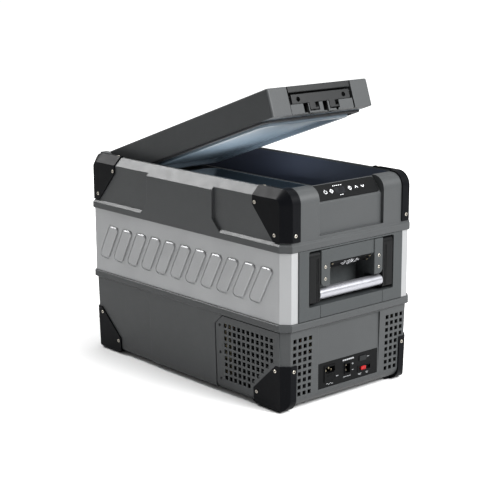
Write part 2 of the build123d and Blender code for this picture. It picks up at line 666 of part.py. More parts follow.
def socket_plate():
    plate = block(SOCKET_X - 3, SOCKET_X, -SOCKET_HY, SOCKET_HY, SOCKET_Z0, SOCKET_Z1)
    plate -= block(280, 290, AC_Y - 13.2, AC_Y + 13.2, AC_Z - 14, AC_Z + 14)
    plate -= block(280, 290, DC_Y - DC_HY - 0.2, DC_Y + DC_HY + 0.2,
                   DC_Z - DC_HZ - 0.2, DC_Z + DC_HZ + 0.2)
    plate -= block(280, 290, USB_Y - 8, USB_Y + 8, USB_Z - 3.6, USB_Z + 3.6)
    slot = block(280, 290, SLIDE_Y - SLIDE_HY, SLIDE_Y + SLIDE_HY,
                 SLIDE_Z - SLIDE_HZ, SLIDE_Z + SLIDE_HZ)
    frame = block(SOCKET_X, SOCKET_X + 0.8, SLIDE_Y - 17.5, SLIDE_Y + 17.5,
                  SLIDE_Z - 6, SLIDE_Z + 6)
    return plate + frame - slot


def ac_inlet():
    body = block(262, SOCKET_X, AC_Y - 13, AC_Y + 13, AC_Z - 13.8, AC_Z + 13.8)
    body += block(SOCKET_X, SOCKET_X + 1.6, AC_Y - 14.5, AC_Y + 14.5, AC_Z - 15.5, AC_Z + 15.5)
    mouth_yz = [(-12, 13), (12, 13), (12, 4), (8.5, 0.5), (-8.5, 0.5), (-12, 4)]
    body -= along_x([(AC_Y + y, AC_Z + z) for y, z in mouth_yz], 272, 292)
    for y, z in ((-7, 5), (0, 9.5), (7, 5)):
        body += block(271, 284, AC_Y + y - 1, AC_Y + y + 1, AC_Z + z - 2, AC_Z + z + 2)
    body -= block(268, 292, AC_Y - 10.6, AC_Y + 10.6, AC_Z - 12.8, AC_Z - 1.8)
    return body


def fuse_drawer():
    z = AC_Z - 12.5
    drawer = block(268.5, SOCKET_X + 1.2, AC_Y - 10.3, AC_Y + 10.3, z, z + 10.4)
    drawer -= block(272, 284, AC_Y - 8, AC_Y + 8, z + 3.5, z + 11)
    return drawer + block(SOCKET_X, SOCKET_X + 2.4, AC_Y - 6, AC_Y + 6, z + 7.5, z + 9.1)


def dc_inlet():
    """Two-pole inlet with rounded corners and one pin above the other."""
    def stub(inset, x0, x1):
        shape = block(x0, x1, DC_Y - DC_HY + inset, DC_Y + DC_HY - inset,
                      DC_Z - DC_HZ + inset, DC_Z + DC_HZ - inset)
        return fillet(shape.edges().filter_by(Axis.X), 3.4 - inset)

    body = stub(0, 266, SOCKET_X + 1.6) - stub(1.8, 271, 292)
    for z in (DC_Z - 4.8, DC_Z + 4.8):
        body += rod((270, DC_Y, z), (284, DC_Y, z), 1.7)
    return body


def usb_socket():
    body = block(272, SOCKET_X - 0.2, USB_Y - 7.8, USB_Y + 7.8, USB_Z - 3.4, USB_Z + 3.4)
    body -= block(275, 292, USB_Y - 6.6, USB_Y + 6.6, USB_Z - 2.4, USB_Z + 2.4)
    body += block(274, 284, USB_Y - 5, USB_Y + 5, USB_Z + 0.4, USB_Z + 1.8)
    return body


CAP_HY, CAP_HINGE_Y = 8.6, USB_Y + 10.5


def usb_cap():
    cap = block(SOCKET_X + 0.3, SOCKET_X + 1.7, USB_Y - CAP_HY, USB_Y + CAP_HY,
                USB_Z - 4.7, USB_Z + 4.7)
    cap = fillet(cap.edges().filter_by(Axis.X), 1.2)
    cap += block(SOCKET_X + 0.5, SOCKET_X + 1.7, USB_Y + CAP_HY - 1, CAP_HINGE_Y,
                 USB_Z - 2.1, USB_Z + 2.1)
    return cap + rod((SOCKET_X + 1.1, CAP_HINGE_Y, USB_Z - 2.1),
                     (SOCKET_X + 1.1, CAP_HINGE_Y, USB_Z + 2.1), 0.8)


def switch_knob():
    knob = block(SOCKET_X - 2.6, SOCKET_X + 1.6, KNOB_Y - 5.8, KNOB_Y + 5.8,
                 SLIDE_Z - 3.2, SLIDE_Z + 3.2)
    for i in range(3):
        y = KNOB_Y - 3 + 3 * i
        knob -= block(SOCKET_X + 1, SOCKET_X + 3, y - 0.5, y + 0.5, SLIDE_Z - 5, SLIDE_Z + 5)
    return knob


# ---- lid ----------------------------------------------------------------------------
NICHE_HY, NICHE_X = 80.0, 213.0
BAR_HY, BAR_X0, BAR_X1 = 77.0, 218.0, 231.0
BAR_H0, BAR_H1 = 40.0, 52.0
BAR_PIVOT = (221.0, LID_Z0 + 46)
PLATE_HY, PLATE_H0, PLATE_H1, PLATE_X = 73.0, 18.8, 36.4, 227.8
HOOK_PIVOT = (225.5, LID_Z0 + 33)
HOOK_Y, HOOK_W, LATCH_HOLE_R = 25.0, 14.0, 4.6
HINGE_PIN_R = 2.5


def lid_shell():
    body = block(LID_X0, LID_X1, -LID_HY, LID_HY, LID_Z0, LID_Z1)
    body = fillet(body.edges().filter_by(Axis.Z), 5)
    body = fillet(body.faces().sort_by(Axis.Z)[-1].edges(), 3)
    tray = rounded_plate(-230, 190, -96, 96, LID_Z1 - 1.5, LID_Z1 + 1, 14)
    body -= tray
    wall = WALL
    body -= block(LID_X0 + wall, NICHE_X - wall, wall - LID_HY, LID_HY - wall,
                  LID_Z0 - 1, LID_Z1 - 5)
    for side in (-1, 1):
        y0, y1 = sorted((side * (NICHE_HY + wall), side * (LID_HY - wall)))
        body -= block(NICHE_X - wall - 1, LID_X1 - wall, y0, y1, LID_Z0 + wall, LID_Z1 - 5)
    top = LID_Z1 + 1
    body -= block(NICHE_X, LID_X1 - wall, -NICHE_HY, NICHE_HY, LID_Z0 + 2, LID_Z1 - 2)
    body -= block(BAR_X0 - 3, LID_X1 + 1, -NICHE_HY, NICHE_HY, LID_Z0 + 18.3, top)
    for y0, y1 in ((-48, -36), (0, 12), (31, 37), (NICHE_HY - 3.5, NICHE_HY)):
        body -= block(LID_X1 - wall - 1, LID_X1 + 1, y0, y1, LID_Z0 - 1, LID_Z0 + 20)
    body -= block(LID_X1 - 0.8, LID_X1 + 1, -NICHE_HY, 1 - NICHE_HY, LID_Z0 - 1, LID_Z0 + 20)
    for y0, y1 in ((-34, -9), (16, 41)):
        body -= block(LID_X1 - wall - 1, LID_X1 + 1, y0, y1, LID_Z0 + 3.4, LID_Z0 + 20)
    for side in (-1, 1):
        y0, y1 = sorted((side * 18, side * 32))
        body -= block(NICHE_X + 0.3, 225, y0, y1, LID_Z0 - 1, LID_Z0 + 3)
        for (x, z), r in ((BAR_PIVOT, 2.0), (HOOK_PIVOT, 1.8)):
            body -= rod((x, side * 79, z), (x, side * 82.5, z), r + RUNNING)
        body -= rod((HINGE_X, side * 122, HINGE_Z), (HINGE_X, side * 128, HINGE_Z),
                    HINGE_PIN_R)
    return body


def lid_inner_panel():
    low, top = 341.5, LID_Z0
    body = block(LID_X0 + 3, NICHE_X - 3, 3 - LID_HY, LID_HY - 3, top, top + 2)
    x0, x1, half = TUB_X0 + 4, TUB_X1 - 4, TUB_HY - 5
    ridge = rounded_plate(x0, x1, -half, half, low, top, 20)
    ridge = fillet(ridge.faces().sort_by(Axis.Z)[0].edges(), 4)
    ridge -= rounded_plate(x0 + 16, x1 - 16, 16 - half, half - 16, low - 1, top + 1, 12)
    return body + ridge


def lid_foam():
    return block(LID_X0 + 3.2, NICHE_X - 3.2, 3.2 - LID_HY, LID_HY - 3.2, 351.6, 396)


def lid_gasket():
    z0 = SHELF_Z + 0.4
    outer = rounded_plate(TUB_X0 - 15, TUB_X1 + 13, -125, 125, z0, LID_Z0, 14)
    outer = fillet(outer.faces().sort_by(Axis.Z)[0].edges(), 1.2)
    return outer - rounded_plate(TUB_X0 - 4, TUB_X1 + 3, -117, 117, z0 - 1, LID_Z0 + 1, 20)


def hinge_pins():
    pins = []
    for side in (-1, 1):
        pins.append(rod((HINGE_X, side * 122.5, HINGE_Z), (HINGE_X, side * 138, HINGE_Z),
                        HINGE_PIN_R))
    return pins


def hinge_brackets():
    pieces = []
    for side in (-1, 1):
        y0, y1 = sorted((side * 127.2, side * 150))
        ear = block(-284.8, -266, y0, y1, 376, 402)
        ear = chamfer(ear.edges().filter_by(Axis.Y).sort_by(Axis.X)[-2:], 4)
        ear -= rod((HINGE_X, side * 126, HINGE_Z), (HINGE_X, side * 140, HINGE_Z),
                   HINGE_PIN_R + RUNNING)
        ear &= mouth(0)
        pieces.append(ear)
    return pieces


def latch_bar():
    z = LID_Z0
    bar = block(BAR_X0, BAR_X1, -BAR_HY, BAR_HY, z + BAR_H0, z + BAR_H1)
    bar = fillet(bar.edges().filter_by(Axis.Y), 1.5)
    bar -= block(BAR_X0 + 4.5, BAR_X1 - 2.5, -BAR_HY + 4, BAR_HY - 4, z + 39, z + 48)
    x, pz = BAR_PIVOT
    for side in (-1, 1):
        bar += rod((x, side * 76, pz), (x, side * 82.3, pz), 2.0)
    return bar


def latch_plate():
    z = LID_Z0
    body = block(PLATE_X, BAR_X1, -PLATE_HY, PLATE_HY, z + PLATE_H0, z + PLATE_H1)
    body = chamfer(body.faces().sort_by(Axis.X)[-1].edges(), 0.5)
    for side in (-1, 1):
        body -= rod((220, side * 57, z + 27), (235, side * 57, z + 27), LATCH_HOLE_R)
        y = side * HOOK_Y
        body += block(PLATE_X, BAR_X1, y - HOOK_W / 2, y + HOOK_W / 2, z + 6, z + 20)
        body += block(PLATE_X, BAR_X1, y + HOOK_W / 2, y + HOOK_W / 2 + 7, z + 6, z + 9.5)
        body += block(223.5, PLATE_X + 1, y - 5, y + 5, z + 6, z + 8.5)
        y0, y1 = sorted((side * 69, side * PLATE_HY))
        body += block(223.5, PLATE_X + 1, y0, y1, z + 30, z + PLATE_H1)
        x, pz = HOOK_PIVOT
        body += rod((x, side * 72, pz), (x, side * 82.3, pz), 1.8)
    return body


def striker_tabs():
    pieces = []
    for side in (-1, 1):
        y = side * HOOK_Y
        tab = block(215, 218, y - 5, y + 5, SHELF_Z, 362.3)
        tab += block(218, 223, y - 5, y + 5, 359.3, 362.3)
        tab += block(206, 215, y - 5, y + 5, SHELF_Z, SHELF_Z + 2)
        pieces.append(tab)
    return pieces


def interior_light():
    return block(RIM_X1 - 2.5, RIM_X1, -22, 22, 372, 384)


# ---- write the parts ----------------------------------------------------------------
save("lower_housing", lower_housing())
save("base_pan", base_pan())
grille = side_grille()
save("side_grilles", grille, mirror(grille, Plane.XZ))
small = [screw((113, grille_face(z), z), (0, -1, 0), 2.6, 1.1, 0.6, 1.0) for z in (126, 73, 21)]
small += [mirror(s, Plane.XZ) for s in small]
save("grille_screws", *small)

silver = side_panel()
save("side_panel_right", silver)
save("side_panel_left", mirror(silver, Plane.XZ))

hood, panel, badge = handle_hood(), end_panel(), badge_plate()
arms, grip = handle_arms(), handle_grip()
hood_set = [screw(p, n, 3.0) for p, n in hood_screws()]
for end, place in (("front", lambda s: s), ("rear", lambda s: mirror(s, Plane.YZ))):
    save(f"{end}_end_panel", place(panel))
    save(f"{end}_handle_arms", *[place(arm) for arm in arms])
    save(f"{end}_handle_grip", place(grip))
save("handle_hoods", hood, mirror(hood, Plane.YZ))
save("badge_plates", badge, mirror(badge, Plane.YZ))
save("hood_screws", *hood_set, *[mirror(s, Plane.YZ) for s in hood_set])

save("upper_frame", upper_frame())
upper, lower = top_guard(), bottom_guard()
guard_screws = [screw(p, n) for p, n in (*top_guard_screws(), *bottom_guard_screws())]
guard_screws.append(screw(*rim_screw(), RIM_SCREW_R, 1.4, 0.8))
all_screws = []
for corner, place in corners():
    save(f"top_guard_{corner}", place(upper) - mouth(0))
    save(f"bottom_guard_{corner}", place(lower))
    all_screws += [place(s) for s in guard_screws]
save("guard_screws", *all_screws)

save("key_panel", key_panel())
save("display_window", display_window())
for name, y in ROUND_KEYS:
    save(name, round_key(y))

save("inner_liner", inner_liner())
save("evaporator_plate", evaporator_plate())
save("foam_insulation", foam())
save("compressor", compressor())
save("compressor_grommets", *compressor_grommets())
save("condenser", condenser())
save("fan_shroud", fan_shroud())
save("fan_rotor", fan_rotor())
save("refrigerant_lines", filter_drier(), *refrigerant_lines())
save("control_board", control_board())
save("power_module", power_module())

save("socket_plate", socket_plate())
save("ac_inlet", ac_inlet())
save("fuse_drawer", fuse_drawer())
save("dc_inlet", dc_inlet())
save("usb_socket", usb_socket())
save("usb_cap", usb_cap())
save("switch_knob", switch_knob())

save("hinge_brackets", *hinge_brackets())
save("striker_tabs", *striker_tabs())
save("interior_light", interior_light())
save("lid_shell", opened(lid_shell()))
save("lid_inner_panel", opened(lid_inner_panel()))
save("lid_foam", opened(lid_foam()))
save("lid_gasket", opened(lid_gasket()))
save("lid_hinge_pins", *[opened(pin) for pin in hinge_pins()])
save("latch_bar", opened(latch_bar()))
save("latch_plate", opened(latch_plate()))
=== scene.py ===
import json
import math

import bmesh
import bpy
from mathutils import Matrix, Vector


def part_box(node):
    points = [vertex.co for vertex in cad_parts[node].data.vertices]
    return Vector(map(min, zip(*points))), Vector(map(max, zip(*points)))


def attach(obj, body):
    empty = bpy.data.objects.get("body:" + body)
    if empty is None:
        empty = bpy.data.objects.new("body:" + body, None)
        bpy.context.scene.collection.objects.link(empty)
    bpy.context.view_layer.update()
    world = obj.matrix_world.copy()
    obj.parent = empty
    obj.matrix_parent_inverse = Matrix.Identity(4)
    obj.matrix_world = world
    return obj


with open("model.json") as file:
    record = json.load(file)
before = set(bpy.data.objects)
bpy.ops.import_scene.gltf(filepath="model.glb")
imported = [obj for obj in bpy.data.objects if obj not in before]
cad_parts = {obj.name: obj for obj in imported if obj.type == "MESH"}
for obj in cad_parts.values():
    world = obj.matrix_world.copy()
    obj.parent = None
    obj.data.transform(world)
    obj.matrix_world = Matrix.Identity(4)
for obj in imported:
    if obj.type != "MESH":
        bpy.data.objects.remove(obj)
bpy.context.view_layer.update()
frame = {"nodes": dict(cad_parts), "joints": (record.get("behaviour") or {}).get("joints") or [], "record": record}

# ---- view and studio ----------------------------------------------------------------
CAMERA_AT = Vector((1.9867, -1.7331, 0.8475))
CAMERA_AZIMUTH, CAMERA_ELEVATION, CAMERA_ROLL = 48.714, 13.19, -0.227
CAMERA_LENS, SENSOR = 98.5, 36.0
WHITE = (1.0, 1.0, 1.0, 1.0)
WORLD_SOFT, WORLD_SEEN = 0.37, 1.0          # strength as light, and as seen behind the object
FLOOR_R, FLOOR_DROP = 30.0, 0.0004
FLOOR_PALE, FLOOR_BOUNCE = 0.87, 0.62       # grey as seen, and as a reflector of light
FLOOR_NEAR, FLOOR_FAR, FLOOR_GLOW = 0.75, 2.2, 0.72     # the floor fades to white between these
LAMPS = (                                   # name, place, target, width, watts, colour
    ("key", (2.7, 0.7, 2.1), (0.2, 0, 0.2), 1.8, 210, (1, 1, 1)),
    ("overhead", (0.0, 0.5, 3.2), (0, 0, 0.3), 2.4, 75, (1, 1, 1)),
    ("rim", (-2.6, -0.8, 2.6), (-0.1, 0, 0.35), 0.9, 80, (1, 1, 1)),
    ("inside", (0.02, 0.0, 0.36), (-0.02, 0, 1.0), 0.2, 0.42, (0.93, 0.97, 1.0)),
)

# ---- places taken from the frame ----------------------------------------------------
joints = {joint["name"]: joint for joint in frame["joints"]}
LID_TURN = -math.radians(joints["lid_hinge"]["range_deg"][0])
HINGE = Vector(joints["lid_hinge"]["pos_m"])
LID_AT_REST = (Matrix.Translation(HINGE) @ Matrix.Rotation(-LID_TURN, 4, "Y")
               @ Matrix.Translation(-HINGE))


def srgb(red, green, blue):
    """Linear colour of 8-bit display values."""
    def linear(value):
        v = value / 255
        return v / 12.92 if v <= 0.04045 else ((v + 0.055) / 1.055) ** 2.4

    return (linear(red), linear(green), linear(blue), 1.0)


# ---- material building --------------------------------------------------------------
ROUNDING, THIN = 0.0007, 0.00005    # how round edges look: usual, and on very thin sheets
MIX_FIRST, MIX_SECOND, MIX_RESULT = 6, 7, 2         # colour sockets of the Mix node


class Graph:
    """One material and short ways to add nodes to it."""

    def __init__(self, name):
        self.material = bpy.data.materials.new(name)
        self.material.use_nodes = True
        self.tree = self.material.node_tree
        self.tree.nodes.clear()
        self.shader = self.add("ShaderNodeBsdfPrincipled")
        output = self.add("ShaderNodeOutputMaterial")
        self.join(self.shader.outputs[0], output.inputs["Surface"])
        self.place = self.add("ShaderNodeTexCoord").outputs["Object"]

    def add(self, kind, **settings):
        node = self.tree.nodes.new(kind)
        for key, value in settings.items():
            setattr(node, key, value)
        return node

    def join(self, source, target):
        self.tree.links.new(source, target)

    def set(self, **values):
        """Numbers that are the same all over, set on the shader's own sockets."""
        for key, value in values.items():
            self.shader.inputs[key.replace("_", " ")].default_value = value

    def stretched(self, scale):
        """Object coordinates scaled along each axis."""
        node = self.add("ShaderNodeMapping")
        self.join(self.place, node.inputs["Vector"])
        node.inputs["Scale"].default_value = scale
        return node.outputs["Vector"]

    def noise(self, scale, detail=2.0, rough=0.5, where=None):
        node = self.add("ShaderNodeTexNoise")
        self.join(where or self.place, node.inputs["Vector"])
        node.inputs["Scale"].default_value = scale
        node.inputs["Detail"].default_value = detail
        node.inputs["Roughness"].default_value = rough
        return node.outputs["Fac"]

    def cells(self, scale, where=None):
        node = self.add("ShaderNodeTexVoronoi")
        self.join(where or self.place, node.inputs["Vector"])
        node.inputs["Scale"].default_value = scale
        return node.outputs["Distance"]

    def remap(self, source, low, high, to_low, to_high):
        node = self.add("ShaderNodeMapRange")
        self.join(source, node.inputs["Value"])
        for socket, value in (("From Min", low), ("From Max", high),
                              ("To Min", to_low), ("To Max", to_high)):
            node.inputs[socket].default_value = value
        return node.outputs["Result"]

    def math(self, operation, a, b):
        node = self.add("ShaderNodeMath", operation=operation)
        for socket, value in zip(node.inputs, (a, b)):
            if isinstance(value, (int, float)):
                socket.default_value = value
            else:
                self.join(value, socket)
        return node.outputs[0]

    def mix(self, share, first, second):
        """Colour between two colours."""
        node = self.add("ShaderNodeMix", data_type="RGBA")
        self.join(share, node.inputs["Factor"])
        for socket, value in ((MIX_FIRST, first), (MIX_SECOND, second)):
            if isinstance(value, tuple):
                node.inputs[socket].default_value = value
            else:
                self.join(value, node.inputs[socket])
        return node.outputs[MIX_RESULT]

    def edges(self, radius):
        """About 1 along sharp outside edges, 0 on flats."""
        bevel = self.add("ShaderNodeBevel", samples=6)
        bevel.inputs["Radius"].default_value = radius
        flat = self.add("ShaderNodeNewGeometry")
        dot = self.add("ShaderNodeVectorMath", operation="DOT_PRODUCT")
        self.join(bevel.outputs[0], dot.inputs[0])
        self.join(flat.outputs["Normal"], dot.inputs[1])
        return self.remap(dot.outputs["Value"], 0.995, 0.86, 0.0, 1.0)

    def bump(self, height, strength, distance, rounding=ROUNDING):
        """Surface grain, over edges that look rounded by the given radius."""
        soft = self.add("ShaderNodeBevel", samples=6)
        soft.inputs["Radius"].default_value = rounding
        node = self.add("ShaderNodeBump")
        self.join(soft.outputs[0], node.inputs["Normal"])
        self.join(height, node.inputs["Height"])
        node.inputs["Strength"].default_value = strength
        node.inputs["Distance"].default_value = distance
        self.join(node.outputs[0], self.shader.inputs["Normal"])


def scaled(colour, factor):
    """A colour made lighter or darker."""
    return tuple(min(1.0, c * factor) for c in colour[:3]) + (1.0,)


def moulded(name, colour, rough=0.5, grain=1100.0, edge_wear_and_highlight=0.35, specular=0.4):
    """Moulded plastic: fine spark-eroded grain, faint mottling, and lighter edges that are partly rubbed wear and
    partly a painted highlight.
    """
    g = Graph(name)
    cloud = g.noise(9.0, 4.0, 0.6)
    flecks = g.noise(grain * 0.8, 1.0)
    tone = g.math("ADD", g.remap(cloud, 0.3, 0.7, 0.0, 0.4),
                  g.remap(flecks, 0.35, 0.65, 0.0, 0.6))
    base = g.mix(tone, scaled(colour, 0.88), scaled(colour, 1.12))
    # edges painted lighter: partly rubbed wear, partly a painted highlight along the edges
    rub_and_highlight = g.math("MULTIPLY", g.edges(0.0011), g.remap(g.noise(140, 3.0), 0.35, 0.65, 0.3, 1.0))
    base = g.mix(g.math("MULTIPLY", rub_and_highlight, edge_wear_and_highlight), base, scaled(colour, 2.1))
    g.join(base, g.shader.inputs["Base Color"])
    g.join(g.remap(g.noise(60, 3.0), 0.3, 0.7, rough - 0.02, rough + 0.03),
           g.shader.inputs["Roughness"])
    g.set(Specular_IOR_Level=specular)
    height = g.math("ADD", g.cells(grain), g.math("MULTIPLY", g.noise(grain * 0.35, 2.0), 0.8))
    g.bump(height, 0.35, 0.00012)
    return g.material


def sheet_metal(name, colour, rough, metallic=0.75, brush=(2.0, 900.0, 900.0),
                rounding=ROUNDING):
    """Satin sheet: long fine brush lines, faint clouding, handling smudges, and a painted highlight along the
    edges.
    """
    g = Graph(name)
    streaks = g.noise(1.0, 3.0, 0.65, g.stretched(brush))
    cloud = g.noise(7.0, 3.0, 0.55)
    tone = g.math("ADD", g.remap(streaks, 0.3, 0.7, 0.0, 0.55),
                  g.remap(cloud, 0.3, 0.7, 0.0, 0.45))
    base = g.mix(tone, scaled(colour, 0.95), scaled(colour, 1.05))
    # edges painted lighter: a painted highlight
    base = g.mix(g.math("MULTIPLY", g.edges(0.0009), 0.5), base, scaled(colour, 1.35))
    g.join(base, g.shader.inputs["Base Color"])
    smudge = g.remap(g.noise(16.0, 4.0, 0.6), 0.45, 0.75, 0.0, 0.12)
    grit = g.remap(streaks, 0.3, 0.7, rough - 0.05, rough + 0.05)
    g.join(g.math("ADD", smudge, grit), g.shader.inputs["Roughness"])
    g.set(Metallic=metallic, Specular_IOR_Level=0.5)
    g.bump(streaks, 0.16, 0.00006, rounding)
    return g.material


def bare_metal(name, colour, rough=0.3):
    """Turned or plated metal with small scratches and dulled spots."""
    g = Graph(name)
    scratches = g.noise(1.0, 4.0, 0.7, g.stretched((700.0, 42.0, 700.0)))
    spots = g.noise(55.0, 4.0, 0.6)
    base = g.mix(g.remap(spots, 0.35, 0.7, 0.0, 1.0), scaled(colour, 0.88), scaled(colour, 1.08))
    g.join(base, g.shader.inputs["Base Color"])
    g.join(g.math("ADD", g.remap(scratches, 0.3, 0.7, rough - 0.06, rough + 0.08),
                  g.remap(spots, 0.5, 0.8, 0.0, 0.1)), g.shader.inputs["Roughness"])
    g.set(Metallic=1.0)
    g.bump(scratches, 0.12, 0.00004)
    return g.material


def smooth_plastic(name, colour, rough, coat=0.0, specular=0.5, ripple=0.25, rounding=ROUNDING):
    """Glossy vacuum-formed or injection-moulded plastic with slow waviness."""
    g = Graph(name)
    cloud = g.noise(6.0, 3.0, 0.5)
    base = g.mix(g.remap(cloud, 0.3, 0.7, 0.0, 1.0), scaled(colour, 0.93), scaled(colour, 1.07))
    g.join(base, g.shader.inputs["Base Color"])
    g.join(g.remap(g.noise(40.0, 3.0), 0.3, 0.7, rough - 0.02, rough + 0.03),
           g.shader.inputs["Roughness"])
    g.set(Specular_IOR_Level=specular, Coat_Weight=coat)
    g.bump(g.noise(14.0, 2.0), ripple, 0.0008, rounding)
    return g.material


def soft_rubber(name, colour):
    """Dull rubber with a little pale dust."""
    g = Graph(name)
    dust = g.noise(220.0, 4.0, 0.65)
    base = g.mix(g.remap(dust, 0.45, 0.8, 0.0, 0.6), colour, scaled(colour, 2.0))
    g.join(base, g.shader.inputs["Base Color"])
    g.join(g.remap(dust, 0.3, 0.7, 0.62, 0.85), g.shader.inputs["Roughness"])
    g.set(Specular_IOR_Level=0.3)
    g.bump(g.cells(1500.0), 0.3, 0.0001)
    return g.material


def rigid_foam(name, colour):
    """Cut foam with open pores, painted darker as shade inside them."""
    g = Graph(name)
    pores = g.cells(700.0)
    # pores painted darker: painted shade in the open cells
    base = g.mix(g.remap(pores, 0.1, 0.6, 0.0, 1.0), scaled(colour, 0.72), colour)
    g.join(base, g.shader.inputs["Base Color"])
    g.join(g.remap(pores, 0.0, 1.0, 0.8, 0.95), g.shader.inputs["Roughness"])
    g.bump(pores, 0.8, 0.0006)
    return g.material


def circuit_board(name):
    """Green board with pale tracks."""
    g = Graph(name)
    tracks = g.add("ShaderNodeTexBrick")
    g.join(g.place, tracks.inputs["Vector"])
    tracks.inputs["Scale"].default_value = 160.0
    tracks.inputs["Color1"].default_value = srgb(18, 74, 44)
    tracks.inputs["Color2"].default_value = srgb(22, 92, 54)
    tracks.inputs["Mortar"].default_value = srgb(150, 140, 70)
    g.join(tracks.outputs["Color"], g.shader.inputs["Base Color"])
    g.join(g.remap(g.noise(300.0), 0.3, 0.7, 0.3, 0.5), g.shader.inputs["Roughness"])
    return g.material


def smoked_window(name):
    """Dark display window with a faint haze."""
    g = Graph(name)
    haze = g.noise(90.0, 3.0)
    base = g.mix(g.remap(haze, 0.3, 0.7, 0.0, 1.0), srgb(14, 15, 17), srgb(22, 24, 27))
    g.join(base, g.shader.inputs["Base Color"])
    g.join(g.remap(haze, 0.3, 0.8, 0.24, 0.32), g.shader.inputs["Roughness"])
    g.set(Specular_IOR_Level=0.3)
    return g.material


GREY = srgb(56, 58, 59)
MATERIALS = {
    "housing_dark_grey": moulded("housing_dark_grey", GREY, rough=0.43, specular=0.38),
    "lid_grey": moulded("lid_grey", GREY, rough=0.52, specular=0.3),
    "end_panel_grey": moulded("end_panel_grey", srgb(53, 56, 57), rough=0.46, specular=0.3),
    "silver_sheet": sheet_metal("silver_sheet", srgb(160, 161, 162), rough=0.44, metallic=0.62),
    "guard_black": moulded("guard_black", srgb(6, 7, 10), rough=0.42, edge_wear_and_highlight=0.3, specular=0.07),
    "screw_steel": bare_metal("screw_steel", srgb(206, 200, 188), rough=0.3),
    "handle_black": moulded("handle_black", srgb(8, 9, 10), rough=0.42, edge_wear_and_highlight=0.3, specular=0.14),
    "grip_aluminium": sheet_metal("grip_aluminium", srgb(176, 177, 183), rough=0.3,
                                  metallic=0.85, brush=(700.0, 3.0, 700.0)),
    "badge_black": smooth_plastic("badge_black", srgb(6, 6, 7), rough=0.4, specular=0.1),
    "key_panel_black": moulded("key_panel_black", srgb(7, 8, 9), rough=0.5, grain=1600.0,
                               edge_wear_and_highlight=0.1, specular=0.1),
    "display_smoke": smoked_window("display_smoke"),
    "key_grey": smooth_plastic("key_grey", srgb(16, 17, 19), rough=0.35, specular=0.2),
    "liner_blue_grey": smooth_plastic("liner_blue_grey", srgb(100, 112, 122), rough=0.4,
                                      specular=0.3, ripple=0.05),
    "foam_cream": rigid_foam("foam_cream", srgb(226, 214, 172)),
    "evaporator_aluminium": sheet_metal("evaporator_aluminium", srgb(190, 192, 194),
                                        rough=0.34, metallic=0.9, brush=(400.0, 400.0, 5.0)),
    "compressor_black": smooth_plastic("compressor_black", srgb(26, 27, 29), rough=0.25, coat=0.5),
    "seal_rubber": soft_rubber("seal_rubber", srgb(42, 43, 45)),
    "base_steel": moulded("base_steel", srgb(52, 53, 54), rough=0.55, grain=700.0),
    "fan_black": moulded("fan_black", srgb(28, 28, 30), rough=0.45),
    "copper": bare_metal("copper", srgb(196, 122, 84), rough=0.3),
    "board_green": circuit_board("board_green"),
    "socket_black": moulded("socket_black", srgb(9, 10, 11), rough=0.5, grain=1500.0,
                            edge_wear_and_highlight=0.15, specular=0.1),
    "usb_grey": soft_rubber("usb_grey", srgb(21, 23, 24)),
    "switch_red": smooth_plastic("switch_red", srgb(166, 14, 18), rough=0.35),
    "lens_white": smooth_plastic("lens_white", srgb(236, 238, 240), rough=0.35),
    "latch_grey": moulded("latch_grey", srgb(15, 17, 18), rough=0.42, edge_wear_and_highlight=0.35, specular=0.3),
    # darker copy of the liner colour, for painted shade on the walls of the mouth
    "mouth_shade_navy": smooth_plastic("mouth_shade_navy", srgb(54, 58, 70), rough=0.3, specular=0.3, ripple=0.05,
                               rounding=THIN),
    # near-black, for painted shade in the latch niche and in the screw-head recesses
    "shade_black": smooth_plastic("shade_black", srgb(9, 9, 10), rough=0.6, specular=0.1,
                                 rounding=THIN),
    "fins_dark": sheet_metal("fins_dark", srgb(44, 45, 46), rough=0.4, metallic=0.7),
    "screw_black": bare_metal("screw_black", srgb(44, 44, 45), rough=0.4),
    "print_grey": smooth_plastic("print_grey", srgb(150, 152, 154), rough=0.5, rounding=THIN),
    "print_white": smooth_plastic("print_white", srgb(232, 234, 236), rough=0.5, rounding=THIN),
    "emblem_silver": sheet_metal("emblem_silver", srgb(220, 221, 224), rough=0.25,
                                 rounding=0.0002),
    "brass_pin": bare_metal("brass_pin", srgb(176, 166, 142), rough=0.3),
}


def paint(piece, material):
    piece.data.materials.clear()
    piece.data.materials.append(MATERIALS[material])


slot_of = {part["node"]: part["material_slot"] for part in frame["record"]["subparts"]}
for node_name, node in frame["nodes"].items():
    paint(node, slot_of[node_name])
for node_name, finish in (("condenser", "fins_dark"), ("lid_shell", "lid_grey"),
                          ("grille_screws", "screw_black")):
    paint(frame["nodes"][node_name], finish)


# ---- pieces made as meshes ----------------------------------------------------------
def new_piece(name, bm, body, material, place=Matrix.Identity(4)):
    """Turn a bmesh, built at home and put in place, into a piece that rides on a body."""
    bm.transform(place)
    bmesh.ops.recalc_face_normals(bm, faces=bm.faces)
    mesh = bpy.data.meshes.new(name)
    bm.to_mesh(mesh)
    bm.free()
    mesh.materials.append(MATERIALS[material])
    piece = bpy.data.objects.new(name, mesh)
    bpy.context.scene.collection.objects.link(piece)
    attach(piece, body)


PRINT_T, FACE_GAP = 0.00015, 0.00005    # thickness of printed marks, and their gap to the face


def slab(bm, outline, top=PRINT_T, bottom=0.0):
    """Closed prism over a flat outline of (x, y) points."""
    low = [bm.verts.new((x, y, bottom)) for x, y in outline]
    high = [bm.verts.new((x, y, top)) for x, y in outline]
    bm.faces.new(low[::-1])
    bm.faces.new(high)
    count = len(outline)
    for i in range(count):
        j = (i + 1) % count
        bm.faces.new((low[i], low[j], high[j], high[i]))


